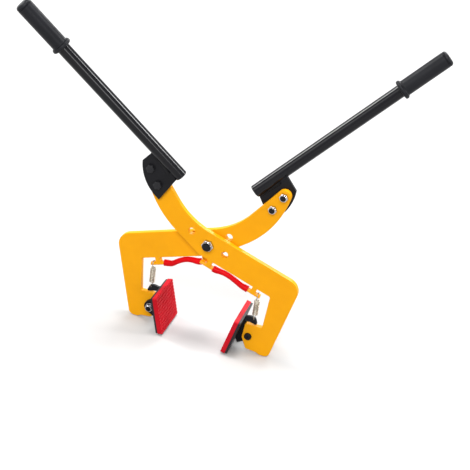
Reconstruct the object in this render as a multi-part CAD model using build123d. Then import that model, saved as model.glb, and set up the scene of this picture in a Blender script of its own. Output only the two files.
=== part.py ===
from build123d import *
import math
import os

# Stone lifting clamp, carried by two people. Two equal steel plates cross on one
# pivot bolt. Each has a carrying handle at its upper end and, at its jaw, a
# swivelling rubber pad that a spring pulls back. Lifting the handles closes the jaws.
# Millimetres and degrees. The origin is the pivot's centre, midway between the
# plates, +Z is up and Y runs along the pivot bolt. The front arm lies on the -Y
# side. The rear arm is the same assembly turned half round about Z.

# Arm plate
PLATE_T = 12.0
PLATE_GAP = 4.0
EDGE_BREAK = 0.7
ARM_SLOPE = 18.4
ARM_DROP = 2.3
ARM_W = 64.0
SHOULDER_R = 32.0
NECK_START = 10.6
NECK_R = 169.8
NECK_TURN = 34.3
NECK_W = 51.0
NECK_END_R = 15.0
NECK_ROOT = -9.0

# Jaw: leg, throat and foot, placed from the pad's pivot
PAD_OUT = 122.0
PAD_DOWN = 204.7
LEG_LEAN = 13.2
LEG_BACK = 63.2
THROAT_LEAN = 4.0
THROAT_BACK = 29.3
THROAT_R = 4.0
FOOT_RISE = 31.0
FOOT_FRONT = 10.8
FOOT_NOSE = 14.8
NOSE_DROP = 6.0
NOSE_R = 12.0
SOLE_FRONT = 2.0
SOLE_DROP = 34.6
SOLE_BACK = 24.0
SOLE_FALL = 2.6
SOLE_R = 8.0
HEEL_FRONT = 33.0
HEEL_DROP = 41.8
HEEL_R = 14.0
FOOT_EDGE_R = 3.0

# T-shaped tabs under the arm, for the hose and the spring
TAB_INNER = 21.3
TAB_STEM_W = 11.5
TAB_GAP = 12.5
TAB_BAR_H = 7.0
TAB_BAR_CHAMFER = 2.0
TAB_PRONG = 14.5

# Pivot bolt and its nut, and the row of holes that sets the opening
PIVOT_D = 16.0
PIVOT_HEX = 24.0
PIVOT_HEAD_H = 10.0
PIVOT_NUT_H = 12.4
PIVOT_PROUD = 1.6
PIVOT_RING_WALL = 2.4
PIVOT_SPACER_D = 30.0
SPARE_ARM_PITCH = 42.9
SPARE_NECK_PITCH = 47.6
SPARE_NECK_RISE = 29.8
RUN_CLEAR = 0.05
FACE_CLEAR = 0.1

# Bolts and lock nuts, and shares of their sizes
BOLT_D = 10.0
BOLT_HEX = 17.0
BOLT_HEAD_H = 6.4
BOLT_NUT_H = 10.0
BOLT_CLEAR = 0.25
BOLT_PROUD = 2.5
NUT_CLEAR = 0.03
RING_WALL = 1.6
HEX_BEVEL = 30.0
HEX_FACE_SHARE = 0.95
NUT_HEX_SHARE = 0.68
NUT_COLLAR_SHARE = 0.93
NUT_ROUND_SHARE = 0.06
BOLT_TIP_SHARE = 0.08

# Handle: bracket, tube and grip
HANDLE_BOLT_PITCH = 40.0
HANDLE_BOLT_FALL = 60.0
BRACKET_T = 8.0
BRACKET_EDGE = 9.0
BRACKET_L = 79.4
BRACKET_HEAD = (24.6, 5.6)
BRACKET_BELLY = (-13.4, 28.2)
BRACKET_HEEL = (-67.6, 30.0)
HANDLE_RISE = 46.0
HANDLE_SPLAY = 14.5
HANDLE_OFFSET = 43.2
HANDLE_TAIL = 51.0
HANDLE_CROSS = 42.4
HANDLE_L = 491.2
TUBE_D = 28.0
TUBE_WALL = 2.5
COPE_CLEAR = 0.02
PLUG_FLANGE = 2.5
PLUG_DEPTH = 14.0
PLUG_ROUND = 1.2
WELD_R = 3.5
WELD_INSET = 4.0
WELD_L = 54.0
GRIP_START = 372.9
GRIP_D = 34.4
GRIP_FLANGE_D = 43.0
GRIP_FLANGE_W = 9.0
GRIP_ROUND_SHARE = 0.42
GRIP_ROOT_SHARE = 0.3
GRIP_CAP = 9.0
GRIP_CAP_R = 7.0
GRIP_GROOVE = 1.4

# Pad: backing plate, studded rubber, ear and spring lug
PAD_TILT = 13.9
PAD_W = 104.0
PAD_ABOVE = 46.0
PAD_BELOW = 48.0
PAD_STANDOFF = 25.0
BACKING_T = 5.0
BACKING_INSET = 1.0
BACKING_R = 4.0
RUBBER_T = 10.5
STUD_PITCH = 8.6
STUD_GROOVE = 2.1
GROOVE_DEPTH = 3.0
EAR_T = 8.0
EAR_R = 15.0
EAR_ABOVE = 28.0
EAR_BELOW = 30.0
EAR_CORNER = (-17.5, -40.0)
PAD_HEAD_D = 17.5
PAD_HEAD_H = 5.5
PAD_HEAD_SHARE = 0.55
PAD_SOCKET = 6.0
PAD_SOCKET_DEPTH = 3.0
WASHER_D = 20.0
WASHER_T = 2.0
LUG_T = 6.0
LUG_CLEAR = 2.6
LUG_REACH = 6.0
LUG_SIDE = 4.0
LUG_H = 14.75
LUG_R = 2.0
LUG_HOLE_D = 4.6
LUG_HOLE_BEFORE = 4.1
LUG_HOLE_RISE = 10.25
LUG_HOLE_WALL = 2.2

# Pull-back spring
SPRING_WIRE = 1.8
SPRING_D = 13.0
SPRING_TURNS = 15
SPRING_HOOK_CLEAR = 0.4
SPRING_HOOK_UP = 12.5
SPRING_HOOK_DOWN = 12.5
SPRING_TAIL = 5.0
SPRING_LIFT = 0.1
SPRING_SEAT = 8.85
COIL_LEAD = 30.0

# Hose bumper between the tabs: points of its route, as shares of the way and above the bars
HOSE_D = 12.5
HOSE_BORE = 8.5
HOSE_CUFF_D = 15.5
HOSE_CUFF_L = 8.0
HOSE_TAPER = 7.0
HOSE_FIT = 0.12
HOSE_STEP = 1.0
HOSE_BACK = 6.7
HOSE_ROUTE = [(0.0, 0.0), (0.165, 0.0), (0.342, 5.5), (0.573, 4.8), (0.831, 0.0), (1.0, 0.0)]
RUN_SHARE = 0.45

# Levels along Y on the front arm
PLATE_BACK = -PLATE_GAP / 2
PLATE_FRONT = PLATE_BACK - PLATE_T
PLATE_MID = (PLATE_BACK + PLATE_FRONT) / 2
BRACKET_FRONT = PLATE_FRONT - BRACKET_T
BRACKET_MID = PLATE_FRONT - BRACKET_T / 2
EAR_BACK = PLATE_BACK + WASHER_T + FACE_CLEAR + EAR_T

HALF_ARM = ARM_W / 2
BAR_LEVEL = -(HALF_ARM + TAB_GAP + TAB_BAR_H / 2)
PAD_PIVOT = Vector(PAD_OUT, -PAD_DOWN)
PAD_H = PAD_ABOVE + PAD_BELOW
LUG_LOW = math.hypot(FOOT_FRONT, FOOT_RISE) + LUG_CLEAR
LUG_HOLE = Vector(-LUG_HOLE_BEFORE, LUG_LOW + LUG_HOLE_RISE)


def heading(degrees):
    """Unit X-Z vector at an angle above the +X axis."""
    return Vector(math.cos(math.radians(degrees)), math.sin(math.radians(degrees)))


ARM_ALONG = heading(-ARM_SLOPE)
ARM_UP = heading(90 - ARM_SLOPE)
ARM_START = Vector(0, -ARM_DROP)


def arm_point(along, above):
    """X-Z point along the arm from below the pivot, and above its centre line."""
    return ARM_START + ARM_ALONG * along + ARM_UP * above


def meet_arm_edge(point, lean, edge):
    """Where a line leaning from the vertical through point meets an edge of the arm."""
    upward = heading(90 - lean)
    return point + upward * ((edge - ARM_UP.dot(point - ARM_START)) / ARM_UP.dot(upward))


# Spring's lower hook in its lug, and the outer tab's place along the arm above it
SPRING_EYE = PAD_PIVOT + heading(-PAD_TILT) * LUG_HOLE.X + heading(90 - PAD_TILT) * LUG_HOLE.Y
SPRING_ALONG = (SPRING_EYE.X - ARM_START.X - ARM_UP.X * BAR_LEVEL) / ARM_ALONG.X
TAB_OUTER = SPRING_ALONG - SPRING_SEAT - TAB_STEM_W / 2

# Neck of the arm, in the X-Z plane
NECK_CENTRE = arm_point(-NECK_START, HALF_ARM + NECK_R)
NECK_OUT_R = NECK_R + NECK_W
NECK_LEAN = ARM_SLOPE + NECK_TURN
NECK_INWARD = heading(270 - NECK_LEAN)
NECK_ALONG = heading(180 - NECK_LEAN)
NECK_REACH = math.sqrt((NECK_OUT_R - NECK_END_R) ** 2 - (NECK_R + NECK_END_R) ** 2)
NECK_TIP = NECK_CENTRE + NECK_INWARD * (NECK_R + NECK_END_R) + NECK_ALONG * NECK_REACH

# Handle, placed from the neck's upper bolt
HANDLE_ALONG = heading(180 - HANDLE_RISE)
HANDLE_DOWN = heading(270 - HANDLE_RISE)
HANDLE_BUTT = NECK_TIP - HANDLE_DOWN * HANDLE_OFFSET - HANDLE_ALONG * HANDLE_TAIL
HANDLE_BOLTS = [NECK_TIP, NECK_TIP + heading(-HANDLE_BOLT_FALL) * HANDLE_BOLT_PITCH]
SPLAY = math.radians(HANDLE_SPLAY)


def plate_plane(level):
    """Sketch plane in X-Z at a level of Y, facing -Y."""
    return Plane(origin=(0, level, 0), x_dir=(1, 0, 0), z_dir=(0, -1, 0))


def slab(outline, back, thickness):
    """Plate of an X-Z outline, from its back level towards -Y."""
    return extrude(plate_plane(back) * outline, amount=thickness)


def disc(centre, radius, back, thickness):
    return slab(Pos(centre.X, centre.Y) * Circle(radius), back, thickness)


def broken_edges(plate):
    """Plate with its two faces' edges slightly bevelled."""
    return chamfer(plate.faces().filter_by(Axis.Y).edges(), EDGE_BREAK)


def arc_about(centre, start, end):
    """The shorter arc about a centre between two points."""
    radius = (start - centre).length
    middle = centre + ((start - centre) + (end - centre)).normalized() * radius
    return ThreePointArc(start, middle, end)


def jaw_corners():
    """Corners of the jaw, from the neck's root round the foot to the shoulder, with radii."""
    foot_top = PAD_PIVOT.Y + FOOT_RISE
    throat_foot = Vector(PAD_PIVOT.X + THROAT_BACK, foot_top)
    leg_foot = Vector(PAD_PIVOT.X + LEG_BACK, PAD_PIVOT.Y)
    heel_reach = LEG_BACK - HEEL_DROP * math.tan(math.radians(LEG_LEAN))
    return [
        (meet_arm_edge(throat_foot, THROAT_LEAN, -HALF_ARM), THROAT_R),
        (throat_foot, FOOT_EDGE_R),
        (Vector(PAD_PIVOT.X - FOOT_FRONT, foot_top), FOOT_EDGE_R),
        (PAD_PIVOT + Vector(-FOOT_NOSE, -NOSE_DROP), NOSE_R),
        (PAD_PIVOT + Vector(-SOLE_FRONT, -SOLE_DROP), SOLE_R),
        (PAD_PIVOT + Vector(SOLE_BACK, -SOLE_DROP - SOLE_FALL), SOLE_R),
        (PAD_PIVOT + Vector(HEEL_FRONT, -HEEL_DROP), SOLE_R),
        (PAD_PIVOT + Vector(heel_reach, -HEEL_DROP), HEEL_R),
        (meet_arm_edge(leg_foot, LEG_LEAN, HALF_ARM), SHOULDER_R),
    ]


def arm_outline():
    root = arm_point(NECK_ROOT, -HALF_ARM)
    bend_start = arm_point(-NECK_START, HALF_ARM)
    bend_end = NECK_CENTRE + NECK_INWARD * NECK_R
    straight_end = bend_end + NECK_ALONG * NECK_REACH
    tip_out = NECK_TIP + (NECK_TIP - NECK_CENTRE).normalized() * NECK_END_R
    span = root - NECK_CENTRE
    swing = math.degrees(math.acos(NECK_OUT_R / span.length))
    leave = NECK_CENTRE + span.normalized().rotate(Axis.Z, -swing) * NECK_OUT_R
    corners = jaw_corners()
    jaw = FilletPolyline(
        [root] + [point for point, radius in corners] + [bend_start],
        radius=[radius for point, radius in corners],
    )
    edges = list(jaw.edges())
    edges.append(arc_about(NECK_CENTRE, bend_start, bend_end))
    edges.append(Line(bend_end, straight_end))
    edges.append(arc_about(NECK_TIP, straight_end, tip_out))
    edges.append(arc_about(NECK_CENTRE, tip_out, leave))
    edges.append(Line(leave, root))
    return make_face(edges)


def tab(place):
    """T-shaped tab: a stem down from the arm's lower edge and a bevelled cross bar."""
    half_stem = TAB_STEM_W / 2
    stem_corners = [
        arm_point(place - half_stem, -HALF_ARM + EDGE_BREAK * 2),
        arm_point(place + half_stem, -HALF_ARM + EDGE_BREAK * 2),
        arm_point(place + half_stem, BAR_LEVEL),
        arm_point(place - half_stem, BAR_LEVEL),
    ]
    stem = slab(make_face(Polyline(stem_corners, close=True)), PLATE_BACK, PLATE_T)
    start = arm_point(place - half_stem - TAB_PRONG, BAR_LEVEL)
    plane = Plane(
        origin=(start.X, PLATE_MID, start.Y), x_dir=(0, 1, 0), z_dir=(ARM_ALONG.X, 0, ARM_ALONG.Y)
    )
    section = Rectangle(PLATE_T, TAB_BAR_H)
    section = chamfer(section.vertices(), TAB_BAR_CHAMFER)
    return stem + extrude(plane * section, amount=TAB_STEM_W + 2 * TAB_PRONG)


def arm_plate():
    plate = broken_edges(slab(arm_outline(), PLATE_BACK, PLATE_T))
    plate += tab(TAB_INNER)
    plate += tab(TAB_OUTER)
    pivot_holes = [
        Vector(0, 0),
        ARM_ALONG * SPARE_ARM_PITCH,
        heading(180 - SPARE_NECK_RISE) * SPARE_NECK_PITCH,
    ]
    for centre in pivot_holes:
        plate -= disc(centre, PIVOT_D / 2 + RUN_CLEAR, PLATE_BACK, PLATE_T)
    for centre in HANDLE_BOLTS:
        plate -= disc(centre, BOLT_D / 2 + BOLT_CLEAR, PLATE_BACK, PLATE_T)
    return plate - disc(PAD_PIVOT, BOLT_D / 2 + RUN_CLEAR, PLATE_BACK, PLATE_T)


def hexagon(centre, across, back, thickness):
    """Hexagon prism with its -Y corners turned off to a bevel."""
    prism = slab(Pos(centre.X, centre.Y) * RegularPolygon(across / 2, 6, major_radius=False), back, thickness)
    corner = across / math.sqrt(3)
    blank = disc(centre, corner, back, thickness)
    rim = blank.edges().filter_by(GeomType.CIRCLE).sort_by(Axis.Y)[0]
    width = corner - across * HEX_FACE_SHARE / 2
    return prism & chamfer(rim, width * math.tan(math.radians(HEX_BEVEL)), width)


def bolt(centre, size, across, head_h, head_back, end):
    """Hexagon bolt along Y: head on the -Y side of head_back, shank to the end level."""
    head = hexagon(centre, across, head_back, head_h)
    shank = disc(centre, size / 2, end, end - head_back)
    tip = shank.edges().filter_by(GeomType.CIRCLE).sort_by(Axis.Y)[-1]
    return head + chamfer(tip, size * BOLT_TIP_SHARE)


def locknut(centre, size, across, height, seat, ring_wall):
    """Lock nut seated at a level and standing towards -Y, with its collar's recess."""
    hex_h = height * NUT_HEX_SHARE
    ring = size / 2 + ring_wall
    body = hexagon(centre, across, seat, hex_h)
    collar = disc(centre, across * NUT_COLLAR_SHARE / 2, seat, height)
    rim = collar.edges().filter_by(GeomType.CIRCLE).sort_by(Axis.Y)[0]
    body += fillet(rim, across * NUT_ROUND_SHARE)
    body -= disc(centre, size / 2 + NUT_CLEAR, seat, height)
    return body - disc(centre, ring, seat - hex_h, height - hex_h)


def lock_ring(centre, size, height, seat, ring_wall):
    """Nylon ring inside a lock nut's collar."""
    hex_h = height * NUT_HEX_SHARE
    depth = height - hex_h
    ring = disc(centre, size / 2 + ring_wall, seat - hex_h, depth)
    return ring - disc(centre, size / 2 + NUT_CLEAR, seat - hex_h, depth)


def facing_back(shape, level):
    """The shape turned to face +Y, its level kept."""
    return shape.mirror(Plane(origin=(0, level, 0), z_dir=(0, 1, 0)))


def handle_point(along, below):
    """X-Z point along the handle from its butt and below its axis."""
    return HANDLE_BUTT + HANDLE_ALONG * along + HANDLE_DOWN * below


def on_handle(shape):
    """Place a shape made about Z on the splayed handle's axis, from its butt."""
    level = BRACKET_MID + HANDLE_CROSS * math.sin(SPLAY)
    flat = math.cos(SPLAY)
    axis = (HANDLE_ALONG.X * flat, -math.sin(SPLAY), HANDLE_ALONG.Y * flat)
    butt = (HANDLE_BUTT.X, level, HANDLE_BUTT.Y)
    return Plane(origin=butt, x_dir=(HANDLE_DOWN.X, 0, HANDLE_DOWN.Y), z_dir=axis).location * shape


def turned(outline):
    """Revolve a radius-height outline about Z."""
    return revolve(Plane.XZ * outline, Axis.Z)


def tube_blank(clearance):
    """Solid cylinder over the handle tube's whole length."""
    return on_handle(extrude(Circle(TUBE_D / 2 + clearance), amount=HANDLE_L))


def handle_bracket():
    def from_bolt(offset):
        return handle_point(HANDLE_TAIL + offset[0], HANDLE_OFFSET + offset[1])

    foot = handle_point(0, BRACKET_EDGE)
    top = handle_point(BRACKET_L, BRACKET_EDGE)
    head = from_bolt(BRACKET_HEAD)
    heel = from_bolt(BRACKET_HEEL)
    outline = make_face([
        Line(foot, top),
        Line(top, head),
        ThreePointArc(head, from_bolt(BRACKET_BELLY), heel),
        Line(heel, foot),
    ])
    plate = broken_edges(slab(outline, PLATE_FRONT, BRACKET_T))
    for centre in HANDLE_BOLTS:
        plate -= disc(centre, BOLT_D / 2 + BOLT_CLEAR, PLATE_FRONT, BRACKET_T)
    return plate - tube_blank(COPE_CLEAR)


def handle_tube():
    length = HANDLE_L - GRIP_CAP - PLUG_FLANGE
    section = Circle(TUBE_D / 2) - Circle(TUBE_D / 2 - TUBE_WALL)
    return on_handle(Pos(0, 0, PLUG_FLANGE) * extrude(section, amount=length))


def tube_plug():
    flange = extrude(Circle(TUBE_D / 2), amount=PLUG_FLANGE)
    rim = flange.edges().filter_by(GeomType.CIRCLE).sort_by(Axis.Z)[0]
    stem = extrude(Circle(TUBE_D / 2 - TUBE_WALL - NUT_CLEAR), amount=PLUG_DEPTH)
    return on_handle(fillet(rim, PLUG_ROUND) + stem)


def handle_weld(bracket):
    """Weld beads in the two corners between the tube and the bracket."""
    below = TUBE_D / 2 - COPE_CLEAR
    beads = []
    runs = [(BRACKET_FRONT, BRACKET_L - WELD_INSET - WELD_L), (PLATE_FRONT, WELD_INSET)]
    for level, along in runs:
        start = handle_point(along, below)
        plane = Plane(origin=(start.X, level, start.Y), z_dir=(HANDLE_ALONG.X, 0, HANDLE_ALONG.Y))
        rod = extrude(plane * Circle(WELD_R), amount=WELD_L)
        bead = rod - tube_blank(COPE_CLEAR) - bracket
        beads.append(max(bead.solids(), key=lambda solid: solid.volume))
    return Compound(children=beads)


def grip():
    bore = TUBE_D / 2 + NUT_CLEAR
    flange = GRIP_FLANGE_D / 2
    body = GRIP_D / 2
    body_end = HANDLE_L - GRIP_CAP
    neck = GRIP_START + GRIP_FLANGE_W
    corners = [
        ((bore, GRIP_START), 0.0),
        ((flange, GRIP_START), GRIP_FLANGE_W * GRIP_ROUND_SHARE),
        ((flange, neck), GRIP_FLANGE_W * GRIP_ROUND_SHARE),
        ((body, neck), GRIP_FLANGE_W * GRIP_ROOT_SHARE),
        ((body, body_end), 0.0),
        ((body - GRIP_GROOVE, body_end + GRIP_GROOVE / 2), 0.0),
        ((body, body_end + GRIP_GROOVE), 0.0),
        ((body, HANDLE_L), GRIP_CAP_R),
        ((0.0, HANDLE_L), 0.0),
        ((0.0, body_end), 0.0),
        ((bore, body_end), 0.0),
    ]
    outline = FilletPolyline(
        [point for point, radius in corners], radius=[radius for point, radius in corners], close=True
    )
    return on_handle(turned(make_face(outline.edges())))


def on_pad(shape):
    """Place a shape made about the pad's pivot, upright, at the pad's rest tilt."""
    return Pos(PAD_PIVOT.X, 0, PAD_PIVOT.Y) * Rot(0, PAD_TILT, 0) * shape


def pad_slab(thickness, back, inset):
    """Plate behind the pad's face, its back face at a distance before the pivot."""
    size_y = PAD_W - 2 * inset
    size_z = PAD_H - 2 * inset
    plane = Plane(origin=(-back, 0, PAD_H / 2 - PAD_BELOW), x_dir=(0, 1, 0), z_dir=(-1, 0, 0))
    return extrude(plane * RectangleRounded(size_y, size_z, BACKING_R), amount=thickness)


def pad_backing():
    return on_pad(pad_slab(BACKING_T, PAD_STANDOFF, BACKING_INSET))


def pad_rubber():
    back = PAD_STANDOFF + BACKING_T
    face = -back - RUBBER_T
    pad = pad_slab(RUBBER_T, back, 0)
    columns = round(PAD_W / STUD_PITCH)
    rows = round(PAD_H / STUD_PITCH)
    middle = PAD_H / 2 - PAD_BELOW
    cuts = []
    for column in range(1, columns):
        across = column * PAD_W / columns - PAD_W / 2
        cuts.append(Pos(face, across, middle) * Box(2 * GROOVE_DEPTH, STUD_GROOVE, PAD_H))
    for row in range(1, rows):
        up = row * PAD_H / rows - PAD_BELOW
        cuts.append(Pos(face, 0, up) * Box(2 * GROOVE_DEPTH, PAD_W, STUD_GROOVE))
    return on_pad(pad - cuts)


def pad_ear():
    root = Line((-PAD_STANDOFF, -EAR_BELOW), (-PAD_STANDOFF, EAR_ABOVE))
    toe = Line((-PAD_STANDOFF, -EAR_BELOW), EAR_CORNER)
    outline = make_hull([root, toe, Circle(EAR_R).edge()])
    ear = slab(outline, EAR_BACK, EAR_T)
    return on_pad(ear - disc(Vector(0, 0), BOLT_D / 2 + RUN_CLEAR, EAR_BACK, EAR_T))


def spring_lug():
    """Lug over the foot, clear of the foot's top corner at every tilt of the pad."""
    pad_top = PAD_ABOVE - BACKING_INSET
    top = LUG_LOW + LUG_H
    eye = LUG_HOLE_D / 2 + LUG_HOLE_WALL
    corners = [
        ((-PAD_STANDOFF, LUG_LOW), 0.0),
        ((LUG_REACH, LUG_LOW), LUG_R),
        ((LUG_REACH, LUG_LOW + LUG_SIDE), LUG_R),
        ((eye / 2 - LUG_HOLE_BEFORE, top), LUG_R),
        ((-eye - LUG_HOLE_BEFORE - LUG_SIDE, top), LUG_R),
        ((-PAD_STANDOFF, pad_top), 0.0),
    ]
    outline = FilletPolyline(
        [point for point, radius in corners], radius=[radius for point, radius in corners], close=True
    )
    lug = slab(make_face(outline.edges()), PLATE_MID + LUG_T / 2, LUG_T)
    return on_pad(lug - disc(LUG_HOLE, LUG_HOLE_D / 2, PLATE_MID + LUG_T / 2, LUG_T))


def pad_bolt(end):
    """Round-headed socket bolt through the foot and the ear."""
    head = disc(PAD_PIVOT, PAD_HEAD_D / 2, PLATE_FRONT, PAD_HEAD_H)
    rim = head.edges().filter_by(GeomType.CIRCLE).sort_by(Axis.Y)[0]
    head = fillet(rim, PAD_HEAD_H * PAD_HEAD_SHARE)
    front = PLATE_FRONT - PAD_HEAD_H
    socket = Pos(PAD_PIVOT.X, PAD_PIVOT.Y) * RegularPolygon(PAD_SOCKET / 2, 6, major_radius=False)
    head -= slab(socket, front + PAD_SOCKET_DEPTH, PAD_SOCKET_DEPTH)
    shank = disc(PAD_PIVOT, BOLT_D / 2, end, end - PLATE_FRONT)
    tip = shank.edges().filter_by(GeomType.CIRCLE).sort_by(Axis.Y)[-1]
    return head + chamfer(tip, BOLT_D * BOLT_TIP_SHARE)


def pad_washers(levels):
    ring = BOLT_D / 2 + BOLT_CLEAR
    washers = []
    for level in levels:
        blank = disc(PAD_PIVOT, WASHER_D / 2, level, WASHER_T)
        washers.append(blank - disc(PAD_PIVOT, ring, level, WASHER_T))
    return Compound(children=washers)


def biarc(start, start_dir, end, end_dir):
    """Two arcs that leave start and reach end in the given directions."""
    chord = end - start
    both = start_dir + end_dir
    square = both.dot(both) - 4
    half = chord.dot(both)
    root = math.sqrt(half * half - square * chord.dot(chord))
    reach = (half - root) / square
    first = start + start_dir * reach
    second = end - end_dir * reach
    joint = (first + second) * 0.5
    return [TangentArc(start, joint, tangent=start_dir), TangentArc(joint, end, tangent=second - first)]


def spring_path():
    """Wire line of the spring about its own axis, from the upper hook to the lower."""
    bar = arm_point(SPRING_ALONG, BAR_LEVEL)
    radius = (SPRING_D - SPRING_WIRE) / 2
    hook = PLATE_T / 2 + SPRING_HOOK_CLEAR + SPRING_WIRE / 2
    top = bar.Y - SPRING_HOOK_UP
    bottom = SPRING_EYE.Y + SPRING_HOOK_DOWN
    turns = SPRING_TURNS + 0.5 - COIL_LEAD / 180
    pitch = (top - bottom) / turns
    rise = pitch / (2 * math.pi * radius)
    scale = math.hypot(1, rise)

    def on_coil(turn):
        angle = math.radians(90 + COIL_LEAD + turn * 360)
        place = Vector(radius * math.cos(angle), radius * math.sin(angle), top - turn * pitch)
        way = Vector(-math.sin(angle), math.cos(angle), -rise) * (1 / scale)
        return place, way

    down = Vector(0, 0, -1)
    turn_in = hook / 2
    eye = SPRING_EYE.Y + SPRING_LIFT + radius
    upper = [
        Line((0, -hook, bar.Y - SPRING_TAIL), (0, -hook, bar.Y)),
        ThreePointArc((0, -hook, bar.Y), (0, 0, bar.Y + hook), (0, hook, bar.Y)),
        Line((0, hook, bar.Y), (0, hook, top + turn_in)),
    ]
    path = upper + biarc(Vector(0, hook, top + turn_in), down, *on_coil(0))
    quarters = math.ceil(turns * 4)
    for quarter in range(quarters):
        path += biarc(*on_coil(turns * quarter / quarters), *on_coil(turns * (quarter + 1) / quarters))
    leg = Vector(0, -radius, bottom - turn_in)
    path += biarc(*on_coil(turns), leg, down)
    path += [
        Line(leg, (0, -radius, eye)),
        ThreePointArc((0, -radius, eye), (0, 0, eye - radius), (0, radius, eye)),
        Line((0, radius, eye), (0, radius, eye + SPRING_TAIL / 2)),
    ]
    print("spring least gap to itself", round(spring_gap(path), 2), "pitch", round(pitch, 2))
    return Vector(SPRING_EYE.X, PLATE_MID, 0), Wire(path)


def spring_gap(path):
    """Least clear distance between stretches of the wire more than half a turn apart."""
    points = []
    travelled = 0.0
    for edge in path:
        for share in (0.0, 0.25, 0.5, 0.75):
            points.append((travelled + edge.length * share, edge @ share))
        travelled += edge.length
    apart = math.pi * SPRING_D / 2
    distances = [
        (first - second).length
        for index, (at, first) in enumerate(points)
        for other, second in points[index + 1:]
        if other - at > apart
    ]
    return min(distances) - SPRING_WIRE


def spring():
    place, path = spring_path()
    section = Plane(origin=path @ 0, z_dir=path % 0) * Circle(SPRING_WIRE / 2)
    return Pos(place.X, place.Y, place.Z) * sweep(section, path=path)


def hose_line():
    """Middle line of the hose: straight runs with arcs as large as they allow."""
    stem_clear = TAB_STEM_W / 2 + HOSE_BACK
    start = TAB_INNER + stem_clear
    way = TAB_OUTER - stem_clear - start
    points = []
    for share, above in HOSE_ROUTE:
        place = arm_point(start + share * way, BAR_LEVEL + above)
        points.append(Vector(place.X, PLATE_MID, place.Y))
    radii = []
    for before, here, after in zip(points, points[1:], points[2:]):
        turn = math.radians((here - before).get_angle(after - here))
        shorter = min((here - before).length, (after - here).length)
        radii.append(RUN_SHARE * shorter / math.tan(turn / 2))
    print("hose bend radii", [round(radius, 1) for radius in radii])
    return FilletPolyline(points, radius=radii)


def hose():
    line = hose_line()
    start = Plane(origin=line @ 0, z_dir=line % 0)
    end = Plane(origin=line @ 1, z_dir=(line % 1) * -1)
    body = sweep(start * Circle(HOSE_D / 2), path=line)
    expected = math.pi * HOSE_D ** 2 / 4 * line.length
    print("hose length", round(line.length, 1), "volume share", round(body.volume / expected, 4))
    bore = sweep(start * Circle(HOSE_BORE / 2), path=line)
    cuff = HOSE_CUFF_D / 2
    taper_end = HOSE_D / 2 + HOSE_STEP
    cuff_outline = make_face(Polyline(
        (0, 0), (cuff, 0), (cuff, HOSE_CUFF_L), (taper_end, HOSE_CUFF_L + HOSE_TAPER),
        (0, HOSE_CUFF_L + HOSE_TAPER), close=True,
    ))
    socket = math.hypot(PLATE_T / 2, TAB_BAR_H / 2 - TAB_BAR_CHAMFER) + HOSE_FIT
    for plane in (start, end):
        body += plane.location * turned(cuff_outline)
    for plane in (start, end):
        body -= plane.location * extrude(Circle(socket), amount=HOSE_CUFF_L)
    return body - bore


def back_nut(centre, seat):
    """Lock nut of the smaller bolts and its ring, standing towards +Y from a level."""
    nut = locknut(centre, BOLT_D, BOLT_HEX, BOLT_NUT_H, seat, RING_WALL)
    ring = lock_ring(centre, BOLT_D, BOLT_NUT_H, seat, RING_WALL)
    return facing_back(nut, seat), facing_back(ring, seat)


def arm_pieces():
    """Every piece of the front arm, by the name that it has on either arm."""
    bolt_end = PLATE_BACK + BOLT_NUT_H + BOLT_PROUD
    far_washer = EAR_BACK + FACE_CLEAR + WASHER_T
    pad_bolt_end = far_washer + BOLT_NUT_H + BOLT_PROUD
    bracket = handle_bracket()
    bolts = [bolt(at, BOLT_D, BOLT_HEX, BOLT_HEAD_H, BRACKET_FRONT, bolt_end) for at in HANDLE_BOLTS]
    nuts = [back_nut(at, PLATE_BACK) for at in HANDLE_BOLTS]
    pad_nut, pad_ring = back_nut(PAD_PIVOT, far_washer)
    return {
        "arm_plate": arm_plate(),
        "handle_bracket": bracket,
        "handle_tube": handle_tube(),
        "tube_plug": tube_plug(),
        "handle_weld": handle_weld(bracket),
        "grip": grip(),
        "handle_bolts": Compound(children=bolts),
        "handle_nuts": Compound(children=[nut for nut, ring in nuts]),
        "handle_nut_rings": Compound(children=[ring for nut, ring in nuts]),
        "pad_bolt": pad_bolt(pad_bolt_end),
        "pad_washers": pad_washers([PLATE_BACK + WASHER_T, far_washer]),
        "pad_nut": pad_nut,
        "pad_nut_ring": pad_ring,
        "pad_ear": pad_ear(),
        "spring_lug": spring_lug(),
        "pad_backing": pad_backing(),
        "pad_rubber": pad_rubber(),
        "spring": spring(),
        "hose": hose(),
    }


def pivot_pieces():
    """Bolt from behind, spacer between the plates and lock nut in front."""
    centre = Vector(0, 0)
    head_seat = PLATE_GAP / 2 + PLATE_T + FACE_CLEAR
    end = PLATE_FRONT - PIVOT_NUT_H - PIVOT_PROUD
    turned_bolt = bolt(centre, PIVOT_D, PIVOT_HEX, PIVOT_HEAD_H, -head_seat, -end)
    spacer_back = PLATE_GAP / 2 - FACE_CLEAR
    spacer = disc(centre, PIVOT_SPACER_D / 2, spacer_back, PLATE_GAP - FACE_CLEAR)
    spacer -= disc(centre, PIVOT_D / 2 + BOLT_CLEAR, spacer_back, PLATE_GAP - FACE_CLEAR)
    return {
        "pivot_bolt": facing_back(turned_bolt, 0),
        "pivot_spacer": spacer,
        "pivot_nut": locknut(centre, PIVOT_D, PIVOT_HEX, PIVOT_NUT_H, PLATE_FRONT, PIVOT_RING_WALL),
        "pivot_nut_ring": lock_ring(centre, PIVOT_D, PIVOT_NUT_H, PLATE_FRONT, PIVOT_RING_WALL),
    }


def main():
    os.makedirs("parts", exist_ok=True)
    for name, piece in pivot_pieces().items():
        export_step(piece, f"parts/{name}.step")
    for name, piece in arm_pieces().items():
        export_step(piece, f"parts/front_{name}.step")
        export_step(piece.rotate(Axis.Z, 180), f"parts/rear_{name}.step")


main()
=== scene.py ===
import math
import bpy
from mathutils import Matrix, Vector


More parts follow.
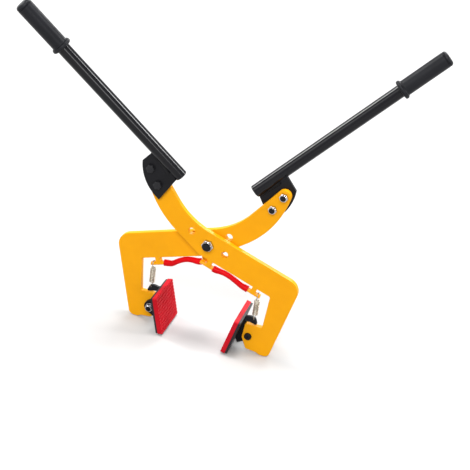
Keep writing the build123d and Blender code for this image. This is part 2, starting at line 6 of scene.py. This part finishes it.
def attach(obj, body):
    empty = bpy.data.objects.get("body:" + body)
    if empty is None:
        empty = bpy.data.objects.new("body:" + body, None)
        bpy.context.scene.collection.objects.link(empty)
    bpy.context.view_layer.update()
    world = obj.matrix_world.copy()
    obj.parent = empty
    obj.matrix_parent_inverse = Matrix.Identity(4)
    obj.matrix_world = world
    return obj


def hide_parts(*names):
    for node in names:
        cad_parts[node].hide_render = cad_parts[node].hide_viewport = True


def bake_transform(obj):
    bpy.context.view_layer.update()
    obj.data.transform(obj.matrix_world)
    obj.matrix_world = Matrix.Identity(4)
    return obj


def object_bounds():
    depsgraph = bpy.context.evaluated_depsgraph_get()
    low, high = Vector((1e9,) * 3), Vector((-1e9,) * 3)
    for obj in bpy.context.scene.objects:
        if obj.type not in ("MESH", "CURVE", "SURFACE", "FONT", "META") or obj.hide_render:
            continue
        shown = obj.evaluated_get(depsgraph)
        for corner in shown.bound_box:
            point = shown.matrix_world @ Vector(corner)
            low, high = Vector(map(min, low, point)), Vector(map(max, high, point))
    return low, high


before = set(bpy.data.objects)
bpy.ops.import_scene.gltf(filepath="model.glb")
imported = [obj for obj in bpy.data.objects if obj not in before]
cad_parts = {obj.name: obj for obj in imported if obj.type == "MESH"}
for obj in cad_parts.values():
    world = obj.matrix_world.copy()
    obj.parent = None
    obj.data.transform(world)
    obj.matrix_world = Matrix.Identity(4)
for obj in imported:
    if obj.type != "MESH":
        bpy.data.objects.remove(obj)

cad_box = [list(map(float, corner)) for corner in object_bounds()]

# Sign of X and Y on each arm, since the rear arm is the front one turned half round
SIDES = {"front": 1.0, "rear": -1.0}

# Sizes repeated from the model, in metres and radians
ARM_SLOPE = math.radians(18.4)
ARM_DROP = 0.0023
HALF_ARM = 0.032
BAR_BELOW = 0.016
PLATE_MID = -0.008
PAD_PIVOT = (0.122, -0.2047)
PAD_TILT = math.radians(13.9)
# Lug hole from the pad's pivot, along the pad's own directions
LUG_HOLE = (-0.0041, 0.0457)


# Shader pieces

# Band of a noise's values over which its effect is spread
NOISE_LOW = 0.3
NOISE_HIGH = 0.7


def new_material(name):
    material = bpy.data.materials.new(name)
    material.use_nodes = True
    tree = material.node_tree
    shader = tree.nodes["Principled BSDF"]
    coords = tree.nodes.new("ShaderNodeTexCoord")
    return material, tree, shader, coords.outputs["Object"]


def noise(tree, coords, scale, detail, roughness, stretch=None):
    node = tree.nodes.new("ShaderNodeTexNoise")
    node.inputs["Scale"].default_value = scale
    node.inputs["Detail"].default_value = detail
    node.inputs["Roughness"].default_value = roughness
    if stretch:
        mapping = tree.nodes.new("ShaderNodeMapping")
        mapping.inputs["Scale"].default_value = stretch
        tree.links.new(coords, mapping.inputs["Vector"])
        coords = mapping.outputs["Vector"]
    tree.links.new(coords, node.inputs["Vector"])
    return node.outputs["Fac"]


def mottle(tree, value, dark, light, start, end):
    """Colour that goes from dark to light as a value goes from start to end."""
    node = tree.nodes.new("ShaderNodeValToRGB")
    first, last = node.color_ramp.elements
    first.position = start
    first.color = (*dark, 1.0)
    last.position = end
    last.color = (*light, 1.0)
    tree.links.new(value, node.inputs["Fac"])
    return node.outputs["Color"]


def spread(tree, value, low, high, start=NOISE_LOW, end=NOISE_HIGH):
    """Number that goes from low to high as a value goes from start to end."""
    node = tree.nodes.new("ShaderNodeMapRange")
    node.inputs["From Min"].default_value = start
    node.inputs["From Max"].default_value = end
    node.inputs["To Min"].default_value = low
    node.inputs["To Max"].default_value = high
    tree.links.new(value, node.inputs["Value"])
    return node.outputs["Result"]


def bump(tree, shader, height, distance, strength, below=None):
    """Raised detail on a shader, on top of the detail below it where there is some."""
    node = tree.nodes.new("ShaderNodeBump")
    node.inputs["Strength"].default_value = strength
    node.inputs["Distance"].default_value = distance
    tree.links.new(height, node.inputs["Height"])
    if below is not None:
        tree.links.new(below, node.inputs["Normal"])
    tree.links.new(node.outputs["Normal"], shader.inputs["Normal"])
    return node.outputs["Normal"]


def math_node(tree, operation, *values):
    node = tree.nodes.new("ShaderNodeMath")
    node.operation = operation
    for place, value in zip(node.inputs, values):
        if isinstance(value, float):
            place.default_value = value
        else:
            tree.links.new(value, place)
    return node.outputs[0]


# Materials

# Brightness of a bare thread as a share of its bolt's, and its depth as a share of its pitch
THREAD_TONE = 0.3
THREAD_DEPTH = 0.45

# Depth of the drawn marks on metal, in metres
MARK_DEPTH = 0.00003

# Length of one ripple of a wave texture whose scale is 1
WAVE_LENGTH = 0.314


def coated(name, light, dark, rough, grain, depth, specular):
    """Paint, rubber or plastic: faint mottling, uneven gloss and a fine grain."""
    material, tree, shader, coords = new_material(name)
    broad = noise(tree, coords, scale=14.0, detail=5.0, roughness=0.6)
    fine = noise(tree, coords, scale=grain, detail=3.0, roughness=0.5)
    colour = mottle(tree, broad, dark, light, start=0.32, end=0.62)
    tree.links.new(colour, shader.inputs["Base Color"])
    tree.links.new(spread(tree, fine, *rough), shader.inputs["Roughness"])
    shader.inputs["Specular IOR Level"].default_value = specular
    bump(tree, shader, fine, depth, strength=0.6)
    return material


def add_thread(tree, shader, coords, colour, surface, pitch, near, far):
    """Dark ridges along Y, between two distances from the plane between the arms."""
    split = tree.nodes.new("ShaderNodeSeparateXYZ")
    tree.links.new(coords, split.inputs["Vector"])
    ridge = math_node(tree, "PINGPONG", split.outputs["Y"], pitch / 2)
    height = math_node(tree, "MULTIPLY", ridge, 2.0 / pitch)
    away = math_node(tree, "ABSOLUTE", split.outputs["Y"])
    after = math_node(tree, "GREATER_THAN", away, near)
    before = math_node(tree, "LESS_THAN", away, far)
    both = math_node(tree, "MULTIPLY", after, before)
    ridges = math_node(tree, "MULTIPLY", height, both)
    bump(tree, shader, ridges, pitch * THREAD_DEPTH, strength=1.0, below=surface)
    tone = math_node(tree, "MULTIPLY_ADD", both, THREAD_TONE - 1.0, 1.0)
    dimmed = tree.nodes.new("ShaderNodeVectorMath")
    dimmed.operation = "SCALE"
    tree.links.new(colour, dimmed.inputs["Vector"])
    tree.links.new(tone, dimmed.inputs["Scale"])
    tree.links.new(dimmed.outputs["Vector"], shader.inputs["Base Color"])


def drawn_metal(name, light, dark, rough, stretch, metallic=1.0, specular=0.5, thread=None):
    """Plated or blackened steel with fine drawn marks, and a thread where there is one."""
    material, tree, shader, coords = new_material(name)
    marks = noise(tree, coords, scale=420.0, detail=4.0, roughness=0.6, stretch=stretch)
    broad = noise(tree, coords, scale=60.0, detail=4.0, roughness=0.6)
    colour = mottle(tree, broad, dark, light, start=0.3, end=0.65)
    tree.links.new(colour, shader.inputs["Base Color"])
    tree.links.new(spread(tree, marks, *rough), shader.inputs["Roughness"])
    shader.inputs["Metallic"].default_value = metallic
    shader.inputs["Specular IOR Level"].default_value = specular
    surface = bump(tree, shader, marks, MARK_DEPTH, strength=0.5)
    if thread:
        add_thread(tree, shader, coords, colour, surface, **thread)
    return material


def rippled(name, light, dark, pitch, depth):
    """Painted weld: ripples across the bead."""
    material, tree, shader, coords = new_material(name)
    broad = noise(tree, coords, scale=90.0, detail=4.0, roughness=0.6)
    colour = mottle(tree, broad, dark, light, start=0.3, end=0.7)
    tree.links.new(colour, shader.inputs["Base Color"])
    shader.inputs["Roughness"].default_value = 0.5
    shader.inputs["Specular IOR Level"].default_value = 0.15
    wave = tree.nodes.new("ShaderNodeTexWave")
    wave.bands_direction = "Z"
    wave.inputs["Scale"].default_value = WAVE_LENGTH / pitch
    wave.inputs["Distortion"].default_value = 2.5
    wave.inputs["Detail"].default_value = 2.0
    tree.links.new(coords, wave.inputs["Vector"])
    bump(tree, shader, wave.outputs["Fac"], depth, strength=0.9)
    return material


# Light and dark are the tones of the mottling, and rough is the range of roughness.
# Grain is in grains per metre, and depth in metres
COATS = {
    "orange_coat": dict(light=(0.93, 0.40, 0.0045), dark=(0.88, 0.368, 0.004),
                        rough=(0.30, 0.42), grain=520.0, depth=0.00006, specular=0.12),
    "black_coat": dict(light=(0.009, 0.009, 0.011), dark=(0.006, 0.006, 0.007),
                       rough=(0.36, 0.50), grain=700.0, depth=0.00008, specular=0.13),
    "tube_coat": dict(light=(0.005, 0.005, 0.007), dark=(0.003, 0.003, 0.005),
                      rough=(0.08, 0.13), grain=480.0, depth=0.000008, specular=0.22),
    "backing_coat": dict(light=(0.016, 0.016, 0.020), dark=(0.010, 0.010, 0.012),
                         rough=(0.36, 0.52), grain=620.0, depth=0.00008, specular=0.20),
    "plug_plastic": dict(light=(0.014, 0.014, 0.014), dark=(0.009, 0.009, 0.009),
                         rough=(0.30, 0.42), grain=900.0, depth=0.00005, specular=0.35),
    "grip_rubber": dict(light=(0.012, 0.0125, 0.0155), dark=(0.008, 0.0085, 0.0105),
                        rough=(0.34, 0.48), grain=1100.0, depth=0.00006, specular=0.15),
    "nylon": dict(light=(0.009, 0.010, 0.015), dark=(0.006, 0.007, 0.010),
                  rough=(0.30, 0.44), grain=900.0, depth=0.00004, specular=0.15),
    "pad_red": dict(light=(0.58, 0.007, 0.018), dark=(0.48, 0.005, 0.013),
                    rough=(0.44, 0.60), grain=900.0, depth=0.00009, specular=0.10),
    "hose_red": dict(light=(0.72, 0.005, 0.009), dark=(0.60, 0.004, 0.007),
                     rough=(0.26, 0.36), grain=650.0, depth=0.00006, specular=0.06),
}
# Stretch squeezes the drawn marks along each axis. A thread is in metres, and runs where the distance
# from the plane between the arms is from near to far
METALS = {
    "zinc": dict(light=(0.56, 0.56, 0.58), dark=(0.36, 0.36, 0.38),
                 rough=(0.10, 0.22), stretch=(1.0, 0.1, 1.0)),
    "spring_zinc": dict(light=(0.50, 0.455, 0.37), dark=(0.33, 0.295, 0.235),
                        rough=(0.22, 0.38), stretch=(1.0, 1.0, 1.0)),
    "pivot_steel": dict(light=(0.024, 0.025, 0.030), dark=(0.014, 0.0145, 0.018),
                        rough=(0.30, 0.48), stretch=(1.0, 0.2, 1.0), metallic=0.0, specular=0.18,
                        thread=dict(pitch=0.0020, near=0.0250, far=0.0400)),
    "handle_steel": dict(light=(0.018, 0.018, 0.021), dark=(0.011, 0.011, 0.013),
                         rough=(0.34, 0.50), stretch=(1.0, 0.2, 1.0), metallic=0.0, specular=0.2,
                         thread=dict(pitch=0.0015, near=0.0, far=0.0215)),
    "pad_steel": dict(light=(0.010, 0.010, 0.011), dark=(0.006, 0.006, 0.007),
                      rough=(0.30, 0.46), stretch=(1.0, 0.2, 1.0), metallic=0.0, specular=0.12,
                      thread=dict(pitch=0.0015, near=0.0200, far=0.0300)),
}
WELD = dict(light=(0.009, 0.009, 0.010), dark=(0.005, 0.005, 0.006), pitch=0.0022, depth=0.0006)

materials = {"weld_coat": rippled("weld_coat", **WELD)}
for name, look in COATS.items():
    materials[name] = coated(name, **look)
for name, look in METALS.items():
    materials[name] = drawn_metal(name, **look)

# Material of each node on an arm, and of those on the pivot
ARM_FINISH = {
    "arm_plate": "orange_coat",
    "handle_bracket": "black_coat",
    "handle_tube": "tube_coat",
    "tube_plug": "plug_plastic",
    "handle_weld": "weld_coat",
    "grip": "grip_rubber",
    "handle_bolts": "handle_steel",
    "handle_nuts": "zinc",
    "handle_nut_rings": "nylon",
    "pad_bolt": "pad_steel",
    "pad_washers": "zinc",
    "pad_nut": "zinc",
    "pad_nut_ring": "nylon",
    "pad_ear": "black_coat",
    "spring_lug": "black_coat",
    "pad_backing": "backing_coat",
    "pad_rubber": "pad_red",
    "spring": "spring_zinc",
    "hose": "hose_red",
}
PIVOT_FINISH = {
    "pivot_bolt": "pivot_steel",
    "pivot_nut": "zinc",
    "pivot_nut_ring": "nylon",
    "pivot_spacer": "zinc",
}


def dress(node, finish):
    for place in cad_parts[node].material_slots:
        place.material = materials[finish]


for node, finish in PIVOT_FINISH.items():
    dress(node, finish)
for side in SIDES:
    for node, finish in ARM_FINISH.items():
        dress(f"{side}_{node}", finish)


# Hoses and springs

def arm_point(along, below):
    """Point on the front arm's mid-plane, along the arm and below its lower edge, in metres."""
    down = HALF_ARM + below
    return Vector((
        along * math.cos(ARM_SLOPE) - down * math.sin(ARM_SLOPE),
        PLATE_MID,
        -along * math.sin(ARM_SLOPE) - down * math.cos(ARM_SLOPE) - ARM_DROP,
    ))


def on_side(point, side):
    """Point of the front arm's set, moved to its place on one of the two sides."""
    return Vector((point.x * SIDES[side], point.y * SIDES[side], point.z))


def curve_object(name, points, thickness, kind, radii=None):
    """Round wire or hose along points, with its thickness at each as a share of the whole."""
    curve = bpy.data.curves.new(name, "CURVE")
    curve.dimensions = "3D"
    spline = curve.splines.new(kind)
    spline.points.add(len(points) - 1)
    for index, point in enumerate(points):
        spline.points[index].co = (*point, 1.0)
        spline.points[index].radius = radii[index] if radii else 1.0
    if kind == "NURBS":
        spline.order_u = 3
        spline.use_endpoint_u = True
        spline.resolution_u = 12
    curve.bevel_depth = thickness / 2
    curve.bevel_resolution = 6
    curve.use_fill_caps = True
    piece = bpy.data.objects.new(name, curve)
    bpy.context.collection.objects.link(piece)
    return piece


# Points of each hose: millimetres along the arm and below its edge, and thickness as a share of the middle's
HOSES = {
    "front": [
        (33.8, 16.0, 1.24), (42.0, 16.0, 1.24), (52.0, 12.8, 1.06), (70.0, 10.6, 1.0),
        (92.0, 13.4, 1.0), (108.0, 16.8, 1.06), (117.0, 16.0, 1.24), (124.9, 16.0, 1.24),
    ],
    "rear": [
        (33.8, 16.0, 1.24), (42.0, 16.0, 1.24), (53.0, 11.4, 1.06), (72.0, 9.0, 1.0),
        (91.0, 13.4, 1.0), (106.0, 19.6, 1.06), (116.0, 17.6, 1.24), (124.9, 16.0, 1.24),
    ],
}
MM_PER_M = 1000
HOSE_D = 0.0125


def add_hose(side):
    points = []
    radii = []
    for along, below, share in HOSES[side]:
        points.append(on_side(arm_point(along / MM_PER_M, below / MM_PER_M), side))
        radii.append(share)
    piece = curve_object(f"{side}_red_hose", points, HOSE_D, "NURBS", radii)
    piece.data.materials.append(materials["hose_red"])
    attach(piece, f"{side}_arm")
    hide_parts(f"{side}_hose")


# Spring's wire in metres: the room for a hook beyond the coil, the tails past the upper hook and
# the lower eye, the eye's play in its hole, and the rise of the leads between coil and hooks
WIRE_D = 0.0018
COIL_R = 0.0056
HOOK_R = 0.0073
HOOK_ROOM = 0.0125
HOOK_TAIL = 0.005
EYE_TAIL = 0.0025
EYE_PLAY = 0.0001
LEAD_RISE = 0.0037

# Coil's turns, the bearings in degrees where it starts and ends, and the turn of each lead
TURNS = 15.333
COIL_START = 120
COIL_END = 240
LEAD_TURN = 30

# Points on a half ring, on a lead and on one turn of the coil
RING_STEPS = 12
LEAD_STEPS = 5
TURN_STEPS = 24


def spring_ends():
    """X of the front spring's axis, and the heights of its tab's bar and its lug hole."""
    lug_x, lug_z = LUG_HOLE
    hole_x = PAD_PIVOT[0] + lug_x * math.cos(PAD_TILT) + lug_z * math.sin(PAD_TILT)
    hole_z = PAD_PIVOT[1] - lug_x * math.sin(PAD_TILT) + lug_z * math.cos(PAD_TILT)
    along = (hole_x + (HALF_ARM + BAR_BELOW) * math.sin(ARM_SLOPE)) / math.cos(ARM_SLOPE)
    return hole_x, arm_point(along, BAR_BELOW).z, hole_z


def about_axis(radius, angle, height):
    return radius * math.cos(angle), radius * math.sin(angle), height


def half_ring(radius, centre, upward):
    """Points of a half ring across the spring's axis, open below if upward is 1, above if it is -1."""
    points = []
    for step in range(RING_STEPS + 1):
        angle = math.pi * step / RING_STEPS
        points.append((0.0, -radius * math.cos(angle), centre + upward * radius * math.sin(angle)))
    return points


def spring_wire(bar_z, hole_z):
    """Points of the wire about the spring's axis, from the tail of its hook to the tail of its eye."""
    top = bar_z - HOOK_ROOM
    bottom = hole_z + HOOK_ROOM
    eye_z = hole_z + EYE_PLAY + COIL_R
    quarter = math.pi / 2
    points = [(0.0, -HOOK_R, bar_z - HOOK_TAIL)]
    points += half_ring(HOOK_R, bar_z, 1)
    for step in range(1, LEAD_STEPS + 1):
        share = step / LEAD_STEPS
        angle = math.radians(COIL_START - LEAD_TURN + LEAD_TURN * share)
        radius = HOOK_R + (COIL_R - HOOK_R) * share
        points.append(about_axis(radius, angle, top + LEAD_RISE * (1 - math.sin(share * quarter))))
    steps = round(TURNS * TURN_STEPS)
    for step in range(1, steps):
        share = step / steps
        angle = math.radians(COIL_START) + share * TURNS * 2 * math.pi
        points.append(about_axis(COIL_R, angle, top + (bottom - top) * share))
    for step in range(LEAD_STEPS + 1):
        share = step / LEAD_STEPS
        angle = math.radians(COIL_END + LEAD_TURN * share)
        points.append(about_axis(COIL_R, angle, bottom - LEAD_RISE * (1 - math.cos(share * quarter))))
    points += half_ring(COIL_R, eye_z, -1)
    points.append((0.0, COIL_R, eye_z + EYE_TAIL))
    return points


def add_spring(side):
    axis_x, bar_z, hole_z = spring_ends()
    wire = spring_wire(bar_z, hole_z)
    points = [on_side(Vector((axis_x + x, PLATE_MID + y, z)), side) for x, y, z in wire]
    curve = curve_object(f"{side}_wire", points, WIRE_D, "POLY")
    mesh = bpy.data.meshes.new_from_object(curve.evaluated_get(bpy.context.evaluated_depsgraph_get()))
    bpy.data.objects.remove(curve)
    for polygon in mesh.polygons:
        polygon.use_smooth = True
    piece = bpy.data.objects.new(f"{side}_coil_spring", mesh)
    bpy.context.collection.objects.link(piece)
    mesh.materials.clear()
    mesh.materials.append(materials["spring_zinc"])
    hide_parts(f"{side}_spring")
    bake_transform(piece)


for side in SIDES:
    add_hose(side)
    add_spring(side)


# Floor and light

# Floor's brightness as the camera and mirrors see it, and as it lights the clamp from below
FLOOR_SEEN = 0.52
FLOOR_BOUNCE = 0.25
# Floor's half side, its gap below the clamp, and its darkest patch as a share of its brightness
FLOOR_REACH = 60.0
FLOOR_GAP = 0.0005
FLOOR_PATCH = 0.985

# Brightness of the room as it lights the clamp, and the heights of view, as a sine, between which
# its white walls dim to that brightness
ROOM_LIGHT = 0.3
WALLS_END = 0.3
CEILING_START = 0.7

# Broad distant lights, in degrees. A bearing of 0 is the front and 90 the right, and width is how far
# across the light looks
SUNS = {
    "overhead": dict(bearing=190.0, elevation=86.0, width=16.0, strength=1.9),
    "back": dict(bearing=178.0, elevation=30.0, width=30.0, strength=1.7),
    "left": dict(bearing=262.0, elevation=36.0, width=16.0, strength=1.6),
    "right": dict(bearing=110.0, elevation=29.5, width=14.0, strength=1.5),
    "front": dict(bearing=8.0, elevation=45.0, width=24.0, strength=1.9),
    "front_left": dict(bearing=324.0, elevation=32.5, width=27.0, strength=0.48),
    "low_right": dict(bearing=43.0, elevation=5.5, width=14.0, strength=0.36),
}


def seen_share(tree):
    """1 where the camera looks, straight or by way of a mirror or glass, and 0 where light spreads."""
    path = tree.nodes.new("ShaderNodeLightPath")
    straight = math_node(tree, "MAXIMUM", path.outputs["Is Camera Ray"], path.outputs["Is Glossy Ray"])
    return math_node(tree, "MAXIMUM", straight, path.outputs["Is Transmission Ray"])


def add_floor():
    level = cad_box[0][2] - FLOOR_GAP
    reach = FLOOR_REACH
    mesh = bpy.data.meshes.new("floor")
    corners = [(-reach, -reach, level), (reach, -reach, level), (reach, reach, level), (-reach, reach, level)]
    mesh.from_pydata(corners, [], [(0, 1, 2, 3)])
    floor = bpy.data.objects.new("floor", mesh)
    bpy.context.collection.objects.link(floor)
    material, tree, shader, coords = new_material("pale_floor")
    tone = math_node(tree, "MULTIPLY_ADD", seen_share(tree), FLOOR_SEEN - FLOOR_BOUNCE, FLOOR_BOUNCE)
    patches = noise(tree, coords, scale=2.0, detail=2.0, roughness=0.55)
    shade = spread(tree, patches, FLOOR_PATCH, 1.0)
    tree.links.new(math_node(tree, "MULTIPLY", tone, shade), shader.inputs["Base Color"])
    shader.inputs["Roughness"].default_value = 0.9
    mesh.materials.append(material)


def add_sun(name, bearing, elevation, width, strength):
    light = bpy.data.lights.new(name, "SUN")
    light.angle = math.radians(width)
    light.energy = strength
    lamp = bpy.data.objects.new(name, light)
    flat = math.cos(math.radians(elevation))
    source = Vector((
        flat * math.sin(math.radians(bearing)),
        -flat * math.cos(math.radians(bearing)),
        math.sin(math.radians(elevation)),
    ))
    lamp.rotation_euler = (-source).to_track_quat("-Z", "Y").to_euler()
    bpy.context.collection.objects.link(lamp)


def add_room():
    """Even dim light all round, seen as white walls that dim towards the ceiling."""
    world = bpy.data.worlds.new("studio")
    world.use_nodes = True
    tree = world.node_tree
    background = tree.nodes["Background"]
    background.inputs["Color"].default_value = (1.0, 1.0, 1.0, 1.0)
    coords = tree.nodes.new("ShaderNodeTexCoord")
    split = tree.nodes.new("ShaderNodeSeparateXYZ")
    tree.links.new(coords.outputs["Generated"], split.inputs["Vector"])
    extra = spread(tree, split.outputs["Z"], 1.0 - ROOM_LIGHT, 0.0, WALLS_END, CEILING_START)
    lift = math_node(tree, "MULTIPLY", seen_share(tree), extra)
    tree.links.new(math_node(tree, "ADD", lift, ROOM_LIGHT), background.inputs["Strength"])
    bpy.context.scene.world = world


add_floor()
for name, sun in SUNS.items():
    add_sun(name, **sun)
add_room()
bpy.context.scene.view_settings.view_transform = "Standard"


# Camera, fitted to the photograph: angles in radians, shifts and distance in metres,
# focal length in widths of the picture

AZIMUTH = 0.239697
ELEVATION = 0.490162
ROLL = 0.145490
SHIFT_X = -0.055483
SHIFT_Y = 0.016334
DISTANCE = 2.230744
FOCAL = 1000.0 / 470.0
SENSOR_MM = 36.0
FARTHEST_SEEN = 200.0


def add_camera():
    sin_a, cos_a = math.sin(AZIMUTH), math.cos(AZIMUTH)
    sin_e, cos_e = math.sin(ELEVATION), math.cos(ELEVATION)
    right = Vector((cos_a, sin_a, 0.0))
    down = Vector((sin_a * sin_e, -cos_a * sin_e, -cos_e))
    ahead = Vector((-sin_a * cos_e, cos_a * cos_e, -sin_e))
    image_x = right * math.cos(ROLL) - down * math.sin(ROLL)
    image_y = right * math.sin(ROLL) + down * math.cos(ROLL)
    place = -(image_x * SHIFT_X + image_y * SHIFT_Y + ahead * DISTANCE)
    lens = bpy.data.cameras.new("camera")
    lens.sensor_width = SENSOR_MM
    lens.lens = FOCAL * SENSOR_MM
    lens.clip_end = FARTHEST_SEEN
    camera = bpy.data.objects.new("camera", lens)
    axes = Matrix((image_x, -image_y, -ahead)).transposed().to_4x4()
    camera.matrix_world = Matrix.Translation(place) @ axes
    bpy.context.collection.objects.link(camera)
    bpy.context.scene.camera = camera


add_camera()
